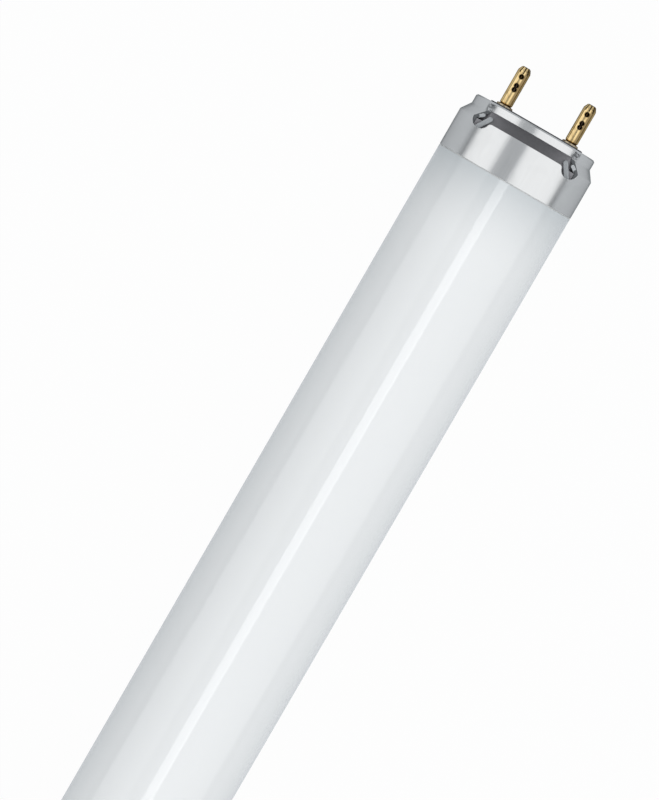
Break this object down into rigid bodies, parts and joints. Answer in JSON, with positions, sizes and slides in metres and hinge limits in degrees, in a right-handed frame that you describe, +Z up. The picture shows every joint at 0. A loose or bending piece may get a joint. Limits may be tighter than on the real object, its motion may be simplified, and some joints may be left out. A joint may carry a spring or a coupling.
{
  "type": "led tube",
  "caption": "Straight glass LED tube lamp with an aluminium cap and a pair of contact pins at each end.",
  "frame": {"origin": "middle of the lamp, on the tube's axis", "axes": "+X along the tube, +Y along the line of the contact pins, +Z up, square to both"},
  "size_m": [0.604, 0.0254, 0.0254],
  "materials": {
    "opal_glass": "glossy glass, coated white inside",
    "cap_aluminium": "drawn aluminium, satin",
    "insulator_plastic": "moulded dark grey plastic",
    "pin_brass": "gold-coloured plated brass",
    "cement": "cured silicone cement",
    "board_white": "white solder resist",
    "board_green": "green solder resist",
    "led_phosphor": "yellow phosphor in a white body",
    "glue": "translucent silicone",
    "sleeve_film": "insulating film",
    "wire_red": "insulated lead wire",
    "tinned_copper": "tinned copper",
    "resistor_body": "painted coating over a ceramic rod",
    "varistor_body": "epoxy dipped over a ceramic disc",
    "chip_black": "moulded package",
    "film_box": "moulded box",
    "ferrite": "sintered ferrite",
    "winding": "enamelled copper wire",
    "can_sleeve": "sleeved aluminium can"
  },
  "bodies": {
    "root": {"bridge_rectifier": "chip_black", "cement_left": "cement", "cement_right": "cement", "choke_core": "ferrite", "choke_winding": "winding", "contact_pin_left_back": "pin_brass", "contact_pin_left_front": "pin_brass", "contact_pin_right_back": "pin_brass", "contact_pin_right_front": "pin_brass", "control_chip": "chip_black", "driver_board": "board_green", "driver_sleeve": "sleeve_film", "end_cap_left": "cap_aluminium", "end_cap_right": "cap_aluminium", "film_capacitor": "film_box", "filter_capacitor": "can_sleeve", "fusible_resistor": "resistor_body", "glass_tube": "opal_glass", "insulator_left": "insulator_plastic", "insulator_right": "insulator_plastic", "lead_wire_left_back": "wire_red", "lead_wire_left_front": "wire_red", "lead_wire_right_back": "wire_red", "lead_wire_right_front": "wire_red", "leds": "led_phosphor", "light_strip": "board_white", "link_strip_back": "tinned_copper", "link_strip_front": "tinned_copper", "strip_glue": "glue", "varistor": "varistor_body"}
  },
  "joints": []
}
